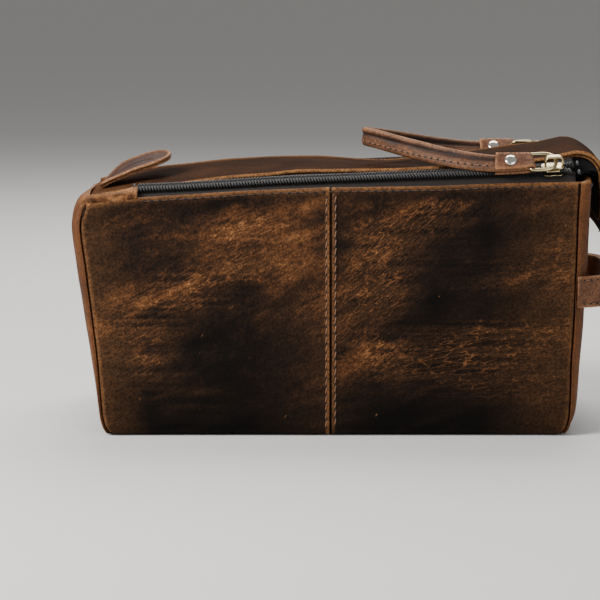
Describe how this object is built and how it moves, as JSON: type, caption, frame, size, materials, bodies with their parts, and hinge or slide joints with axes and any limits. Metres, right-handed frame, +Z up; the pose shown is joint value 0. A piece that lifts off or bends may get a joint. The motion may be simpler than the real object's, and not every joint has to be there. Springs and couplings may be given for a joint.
{
  "type": "toiletry bag",
  "caption": "Box-shaped leather shaving kit bag with a lifting centre strip between two parallel zips, a linked strap pull, an end tab and an end handle.",
  "frame": {"origin": "centre of the underside of the base, on the surface that the bag stands on", "axes": "+X along the length towards the grab handle end, -Y out of the front, +Z up"},
  "size_m": [0.2723, 0.1142, 0.1489],
  "materials": {
    "leather_body": "waxed pull-up leather, dark brown with tan patches",
    "leather_ends": "waxed pull-up leather, orange brown",
    "leather_lid": "waxed pull-up leather, dark brown with tan folded edges",
    "leather_strap": "waxed pull-up leather, rust brown",
    "lining_cloth": "black woven lining",
    "zip_tape": "woven tape",
    "zip_coil": "nylon coil",
    "antique_brass": "antique brass plate, polished",
    "rivet_nickel": "polished nickel",
    "board": "base board"
  },
  "bodies": {
    "bag": {"front_panel_left": "leather_body", "front_panel_right": "leather_body", "back_panel_left": "leather_body", "back_panel_right": "leather_body", "base_panel": "leather_body", "base_stiffener": "board", "end_panel_left": "leather_ends", "end_panel_right": "leather_ends", "lining_front": "lining_cloth", "lining_back": "lining_cloth", "lining_end_left": "lining_cloth", "lining_end_right": "lining_cloth", "zip_tape_outer_front": "zip_tape", "zip_tape_outer_back": "zip_tape", "zip_teeth_outer_front": "zip_coil", "zip_teeth_outer_back": "zip_coil", "zip_stops_outer": "zip_coil", "zip_facing_front": "leather_ends", "zip_facing_back": "leather_ends", "end_handle_outer": "leather_strap", "end_handle_inner": "leather_strap"},
    "lid": {"lid_strip": "leather_lid", "lid_lining": "lining_cloth", "zip_tape_inner_front": "zip_tape", "zip_tape_inner_back": "zip_tape", "zip_teeth_inner_front": "zip_coil", "zip_teeth_inner_back": "zip_coil", "zip_stops_inner": "zip_coil"},
    "slider_front": {"slider_front": "antique_brass"},
    "slider_back": {"slider_back": "antique_brass"},
    "pull": {"pull_ring_front": "antique_brass", "pull_ring_back": "antique_brass", "pull_strap": "leather_strap", "rivet_front": "rivet_nickel", "rivet_back": "rivet_nickel"},
    "tab": {"end_tab_inner": "leather_strap", "end_tab_outer": "leather_strap"}
  },
  "joints": [
    {"name": "lid_lift", "type": "hinge", "parent": "bag", "child": "lid", "pos_m": [-0.121, 0, 0.115], "axis": [0, -1, 0], "range_deg": [0, 95]},
    {"name": "zip_travel", "type": "slide", "parent": "lid", "child": "slider_front", "axis": [-0.9991, 0, -0.042], "range_m": [-0.006, 0.196]},
    {"name": "zip_travel_back", "type": "slide", "parent": "lid", "child": "slider_back", "axis": [-0.9991, 0, -0.042], "range_m": [-0.006, 0.196]},
    {"name": "pull_swing", "type": "hinge", "parent": "slider_front", "child": "pull", "pos_m": [0.1092, 0, 0.1346], "axis": [0, 1, 0], "range_deg": [0, 90]},
    {"name": "tab_lift", "type": "hinge", "parent": "lid", "child": "tab", "pos_m": [-0.1145, 0, 0.119], "axis": [0, -1, 0], "range_deg": [-8, 55]}
  ],
  "couplings": [
    {"joint": "zip_travel_back", "follows": "zip_travel", "ratio": 1}
  ]
}
